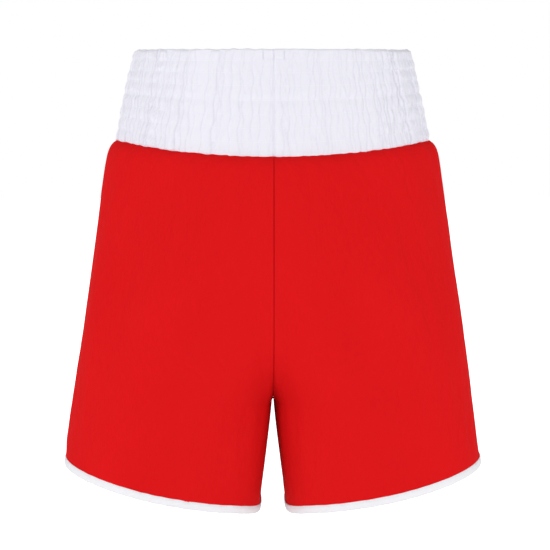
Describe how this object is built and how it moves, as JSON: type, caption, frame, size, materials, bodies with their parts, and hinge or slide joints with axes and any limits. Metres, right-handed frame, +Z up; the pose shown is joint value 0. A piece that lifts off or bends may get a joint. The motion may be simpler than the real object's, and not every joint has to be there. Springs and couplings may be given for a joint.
{
  "type": "boxing shorts",
  "caption": "Red A-line boxing shorts in worn shape, with a deep channel-stitched white elastic waistband and white bound hems.",
  "frame": {"origin": "middle of the waist opening, level with the waistband's top edge", "axes": "+Z up, +Y the way the wearer faces, so the back is at -Y and the wearer's left at -X"},
  "size_m": [0.4412, 0.2378, 0.4788],
  "materials": {
    "shell_fabric": "matte woven polyester, deep red, faint sheen",
    "band_fabric": "white polyester, gathered over the elastic, soft satin sheen",
    "elastic": "ribbed knitted elastic, matte",
    "binding_tape": "white woven bias tape, soft satin sheen",
    "band_thread": "white spun polyester thread",
    "binding_thread": "white spun polyester thread",
    "seam_overlock": "red overlocked seam allowance",
    "label_woven": "blank woven label, matte",
    "label_satin": "blank satin ribbon label, glossy"
  },
  "bodies": {
    "shorts": {"waistband_cover": "band_fabric", "waist_elastic_upper": "elastic", "waist_elastic_lower": "elastic", "waistband_stitch_row_1": "band_thread", "waistband_stitch_row_2": "band_thread", "waistband_stitch_row_3": "band_thread", "waistband_stitch_row_4": "band_thread", "waistband_stitch_row_5": "band_thread", "waistband_stitch_row_6": "band_thread", "waistband_stitch_row_7": "band_thread", "waist_seam": "seam_overlock", "rise_seam": "seam_overlock", "back_panel_left": "shell_fabric", "front_panel_left": "shell_fabric", "side_seam_left": "seam_overlock", "inseam_left": "seam_overlock", "hem_binding_left": "binding_tape", "hem_stitch_left": "binding_thread", "back_panel_right": "shell_fabric", "front_panel_right": "shell_fabric", "side_seam_right": "seam_overlock", "inseam_right": "seam_overlock", "hem_binding_right": "binding_tape", "hem_stitch_right": "binding_thread", "waist_label": "label_woven", "waist_label_stitch": "band_thread"},
    "care_label": {"care_label": "label_satin"}
  },
  "joints": [
    {"name": "care_label_hinge", "type": "hinge", "parent": "shorts", "child": "care_label", "pos_m": [-0.04115, -0.10612, -0.11313], "axis": [0.9895, -0.1444, 0], "range_deg": [0, 120]}
  ]
}
